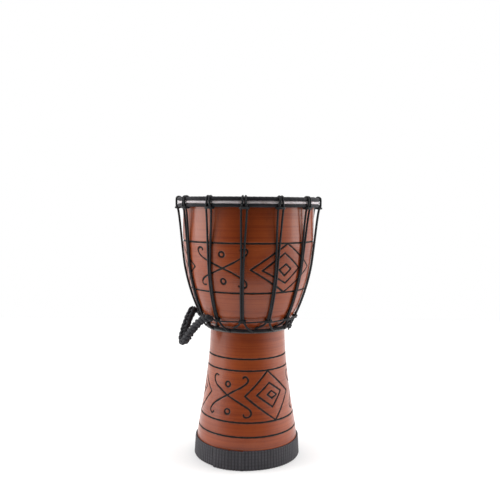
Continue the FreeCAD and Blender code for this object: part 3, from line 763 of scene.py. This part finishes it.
def half_bay(i, side):
    """One strand of a pair, from its loop on the bottom hoop up to its hitch on the top hoops."""
    between = (pair_foot(i) + pair_foot(i + side)) / 2
    front, behind = BASE_HOOP_RADIUS + BASE_WRAP, BASE_HOOP_RADIUS - BASE_WRAP
    under, over = BASE_HOOP_Z - BASE_WRAP, BASE_HOOP_Z + BASE_WRAP
    if side > 0:
        points = [polar(front, between - BASE_LOOP_HALF, under)]
    else:
        loop = between + BASE_LOOP_HALF
        points = [polar(behind, loop, under), polar(behind, loop, over),
                  polar(BASE_HOOP_RADIUS + BASE_COVER, loop + 0.4, over + 0.3)]
    for r, z in STRAND:
        spread = HITCH_OUT if z > LEAVES_BOWL_Z else PAIR_HALF
        points.append(beside(r, strand_angle(i, z), side * spread, z))
    hitch = pair_angle(i)
    return points + [
        beside(FRONT_RADIUS, hitch, side * HITCH_OUT * 0.85, SKIRT_Z - HOOP_COVER),
        beside(FRONT_RADIUS, hitch, side * HITCH_IN, FLESH_Z),
        beside(FRONT_RADIUS, hitch, side * HITCH_IN, TOP_Z),
        beside(BEHIND_RADIUS, hitch, side * HITCH_IN, TOP_Z),
        beside(BEHIND_RADIUS, hitch, side * HITCH_BEHIND, SKIRT_Z - HOOP_WRAP),
        beside(BAR_RADIUS, hitch, side * HITCH_BAR, BAR_Z),
    ]


def make_lacing():
    """The one long cord that ties the hoops together, as a braid."""
    points = []
    for i in range(PAIRS):
        points += half_bay(i, -1) + half_bay(i, 1)[::-1]
    meet = (points[0] + points[-1]) / 2
    line, along = even(nurbs_line([meet] + points + [meet]), 0.55)
    obj = tube_mesh("lacing_braided", line, along, CORD, 16, braid(3.4, 4, 0.09))
    return finish_piece(obj, LACING, "drum", "cord", "lacing_cord")


def gather_route():
    """The gather cord's turns about each pair, and the circle it runs on between them."""
    low, high = STRAND[:2]
    slope = math.atan2(high[0] - low[0], high[1] - low[1])
    seat = low[0] + (GATHER_Z - low[1]) / (high[1] - low[1]) * (high[0] - low[0])
    away = CORD + CORD_GAP + TWINE
    side = PAIR_HALF + away
    points = []
    for k in range(1, PAIRS + 1):
        i = k + KNOT_PAIR
        angle = pair_foot(i)
        for along, out, up in (
            (-PAIR_HALF, away + 2 * CORD_GAP, 1.0), (side, away, 1.0), (side, -away, 0.5),
            (-side, -away, -0.5), (-side, away, -1.0), (PAIR_HALF, away + 2 * CORD_GAP, -1.0),
        ):
            r = seat + out * math.cos(slope) + up * GATHER_PITCH * math.sin(slope)
            z = GATHER_Z - out * math.sin(slope) + up * GATHER_PITCH * math.cos(slope)
            points.append(beside(r, angle, along, z))
        points += [polar(EYE_SEAT, eye, GATHER_Z) for eye in EYE_ANGLES
                   if angle < eye + 360 < pair_foot(i + 1)]
    return points


def knot_line(centre, long, high):
    """A tight overhand knot about a centre, lying on its side, as points on a closed trefoil."""
    t = np.linspace(0, TURN, 90)
    x = (np.sin(t) + 2 * np.sin(2 * t)) / 3 * high
    y = (np.cos(t) - 2 * np.cos(2 * t)) / 3 * long
    z = -np.sin(3 * t) * high * 0.5
    a = math.radians(KNOT_AT[1])
    side, out = np.array([math.cos(a), math.sin(a), 0]), np.array([math.sin(a), -math.cos(a), 0])
    return np.array(centre) + y[:, None] * side + z[:, None] * out + x[:, None] * np.array([0, 0, 1.0])


def make_gather():
    """The thin cord that gathers each pair, and the knot and cut ends where it is tied."""
    radius, top = TAIL_TOP
    start = polar(radius, top + TAIL_HALF, GATHER_Z + GATHER_PITCH)
    end = polar(radius, top - TAIL_HALF, GATHER_Z - GATHER_PITCH)
    knot = polar(*KNOT_AT)
    aside = (start - end).normalized() * TWINE_APART
    down = Vector((0, 0, -STUB))
    route = [knot + aside * 5 + down * 0.4, knot + aside, start] + gather_route()
    route += [end, knot - aside, knot - aside * 3 + down]
    line, along = even(nurbs_line(route), 0.4)
    twine = tube_mesh("twine", line, along, TWINE, 12, braid(2.2, 3, 0.1))
    tied, tied_along = even(knot_line(knot, KNOT_LONG, KNOT_HIGH), 0.4)
    tie = tube_mesh("tie", tied, tied_along, KNOT_CORD, 12, braid(2.8, 3, 0.1))
    obj = join("gather_braided", [twine, tie])
    return finish_piece(obj, LACING, "drum", "cord", "gather_cord")


# ---------------------------------------------------------------- handle
EYES = [polar(EYE_SEAT, a, GATHER_Z) for a in EYE_ANGLES]
HINGE = (EYES[0] + EYES[1]) / 2
ACROSS = (EYES[1] - EYES[0]).normalized()
OUT = Vector((HINGE.x, HINGE.y, 0)).normalized()
NECK = OUT * NECK_OUT + Vector((0, 0, NECK_UP))


def make_eye(name, centre, node):
    """Two loops of braided cord round the gather cord, whipped together where they enter the rope."""
    along = NECK.normalized()
    third = ACROSS.cross(along)
    sides = 14
    pieces = []
    for shift in (-1.35, 1.35):
        ring_at = np.linspace(0, TURN, 65)[:, None]
        stretch = np.where(np.cos(ring_at) > 0, EYE_RADIUS + 1.6, EYE_RADIUS)
        line = (np.array(centre) + shift * np.array(ACROSS) + stretch * np.cos(ring_at) * np.array(along)
                + EYE_RADIUS * np.sin(ring_at) * np.array(third))
        line, far = even(line, 0.35)
        pieces.append(tube_mesh("loop", line, far, EYE_CORD, sides, braid(2.4, 3, 0.1)))
    start, stop = EYE_RADIUS + 0.6, NECK.length + 2.0
    turns = (stop - start) / (2 * WHIP_CORD)
    t = np.linspace(0, turns, int(turns * 28))[:, None]
    size = WHIP_RADIUS * (1 + 0.12 * np.sin(1.3 * t))
    coil = (np.array(centre) + (start + t * 2 * WHIP_CORD) * np.array(along)
            + size * np.cos(TURN * t) * np.array(third) + size * np.sin(TURN * t) * np.array(ACROSS))
    coil, far = even(coil, 0.4)
    pieces.append(tube_mesh("whipping", coil, far, WHIP_CORD * 1.04, sides, braid(2.4, 3, 0.08)))
    reach = [centre + along * d for d in (EYE_RADIUS, NECK.length * 0.6, NECK.length + 3.0)]
    line, far = even(np.array([p[:] for p in reach]), 0.5)
    pieces.append(tube_mesh("neck", line, far, WHIP_RADIUS, sides, braid(3.0, 4, 0.06)))
    obj = join(name, pieces)
    return finish_piece(obj, ROPE_CORD, "handle", "cord", node)


def handle_route():
    """The rope's points from the front eye to the fold and back to the rear eye, in metres."""
    branches = []
    for side, eye in ((-1, EYES[0]), (1, EYES[1])):
        def from_point(base, places):
            return [base + ACROSS * (side * a) + OUT * o + Vector((0, 0, u)) for a, o, u in places]
        end = from_point(eye + NECK, ROPE_ENDS[side])
        branches.append(end + from_point(HINGE, (BRANCH_MIDDLE, FOLD_CORNER)))
    return [p * MM for p in branches[0] + branches[1][::-1]]


def make_handle():
    """The rope handle: three strands of doubled cord, plaited, folded in the middle."""
    route = nurbs_line(handle_route(), 40)
    line, along = even(route / MM, 0.5)
    _, side, up = frames(line)
    total = along[-1]
    near_end = np.minimum(along, total - along)
    full = np.clip(0.6 + near_end / 9.0, 0, 1)
    cycle, wide, thick, strand = 21.0, 3.6, 2.3, 3.1
    pieces = []
    for k in range(3):
        phase = TURN * (along / cycle + k / 3)
        middle = line + (wide * full * np.sin(phase))[:, None] * side + (
            thick * full * np.sin(2 * phase))[:, None] * up
        lobes = (lambda s, a, k=k: 1 + 0.12 * np.cos(3 * a + TURN * s / 8.0 + k))
        tube, far = even(middle, 0.5)
        taper = np.interp(far, np.linspace(0, far[-1], len(full)), full)
        pieces.append(tube_mesh("strand", tube, far, strand, 20, lobes, taper))
    obj = join("handle_plaited", pieces)
    finish_piece(obj, ROPE_CORD, "handle", "rope", "handle_rope")
    return obj


# ---------------------------------------------------------------- foot band
RIB_PITCH, RIB_DEPTH, CROSS_PITCH, CROSS_DEPTH = 3.4, 0.6, 4.7, 0.22


def band_radius(theta, z, extra):
    """The strip's radius at an angle and a height, over its own inner end and down a ramp."""
    low = FOOT_RADIUS + (BAND_TOP_RADIUS - FOOT_RADIUS) * z / BAND_HEIGHT + BAND_GAP + extra
    high = low + BAND_WALL + BAND_GAP
    a = LAP_AT + LAP + LAP_FREE
    b = a + LAP_RAMP
    t1, t2 = np.radians(theta - a), np.radians(b - theta)
    whole = math.radians(b - a)
    ramp = high * low * math.sin(whole) / (low * np.sin(np.clip(t1, 0, whole)) + high * np.sin(
        np.clip(t2, 0, whole)) + 1e-9)
    return np.where(theta < a, high, np.where(theta > b, low, ramp))


def make_band():
    """The rubber strip round the foot, ribbed outside, its outer end lapped over its inner one."""
    theta = np.arange(LAP_AT, LAP_AT + LAP + 360 + 0.01, RIB_PITCH / 8)
    edge = 0.25
    between = np.arange(0.7, BAND_HEIGHT - 0.6, 0.6)
    up = np.concatenate([[0.0, edge], between, [BAND_HEIGHT - edge, BAND_HEIGHT]])
    place = (theta / RIB_PITCH) % 1.0
    groove = np.clip(1.6 - np.abs(place - 0.5) * 8, 0, 1)
    cross = np.clip(1.5 - np.abs((up / CROSS_PITCH) % 1.0 - 0.5) * 9, 0, 1)
    inset = np.zeros(len(up))
    inset[[0, -1]] = 0.45
    inset[[1, -2]] = 0.12
    sunk = np.maximum(RIB_DEPTH * groove[None, :], CROSS_DEPTH * cross[:, None])
    lapped = band_radius(theta[None, :], up[:, None], BAND_WALL)
    ease = np.clip((theta - LAP_AT - 6) / 50, 0, 1)
    blend = np.where(theta < 60, 1 - ease * ease * (3 - 2 * ease), 0)[None, :] * (BAND_WALL + BAND_GAP)
    outside = np.maximum(lapped, band_radius(np.array([180.0]), up[:, None], BAND_WALL) + blend)
    outside = outside - sunk - inset[:, None]
    down = np.array([BAND_HEIGHT, BAND_HEIGHT / 2, 0.0])
    inside = band_radius(theta[None, :], down[:, None], 0.0)
    radius = np.concatenate([outside, inside]).T
    height = np.repeat(np.concatenate([up, down])[None, :], len(theta), axis=0)
    angle = np.radians(theta)[:, None]
    points = np.stack([radius * np.sin(angle), -radius * np.cos(angle), height], axis=-1)
    middle = points.mean(axis=1, keepdims=True)
    points = np.concatenate([points[:1] * 0.02 + middle[:1] * 0.98, points, points[-1:] * 0.02
                             + middle[-1:] * 0.98])
    obj = grid_mesh("foot_band_ribbed", points)
    # painted shade for the grooves: a mask of the ribs' and cross grooves' hollows, which the rubber's
    # colour darkens
    painted_shade = np.zeros(points.shape[:2])
    painted_shade[1:-1, : len(up)] = np.maximum(groove[:, None], 0.45 * cross[None, :])
    layer = obj.data.attributes.new("groove", "FLOAT", "POINT")
    layer.data.foreach_set("value", painted_shade.astype(np.float32).ravel())
    return finish_piece(obj, rubber_material(), "drum", "rubber", "foot_band")


# ---------------------------------------------------------------- making
set_stage()
# each cord's first colour is painted shade for the braid's hollows, its second painted highlight for its
# crowns
LACING = cord_material("braided_cord", 1.7, 3, (0.006, 0.007, 0.008), (0.022, 0.023, 0.027))
ROPE_CORD = cord_material("plaited_cord", 2.6, 4, (0.007, 0.007, 0.009), (0.03, 0.03, 0.036))
CLOTH = cloth_material()
STEEL = steel_material()

eye_pieces = [make_eye("eye_front_braided", EYES[0], "handle_eye_front"),
              make_eye("eye_rear_braided", EYES[1], "handle_eye_rear")]
make_handle()
make_lacing()
make_gather()
make_shell()
make_head()
make_wound_hoop("crown_hoop_wound", HOOP_RADIUS, CROWN_Z + 0.6, 3.0, 8.5, 0.1, "crown_hoop_cover")
make_wound_hoop("skirt_hoop_wound", HOOP_RADIUS, SKIRT_Z, 2.5, 8.0, 0.55, "skirt_hoop_cover")
make_wound_hoop("base_hoop_wound", BASE_HOOP_RADIUS, BASE_HOOP_Z, BASE_COVER, 7.5, 0.3, "base_hoop_cover")
make_band()
for node in ("flesh_hoop", "crown_hoop", "skirt_hoop", "base_hoop"):
    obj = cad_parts[node]
    obj.data.materials.clear()
    obj.data.materials.append(STEEL)
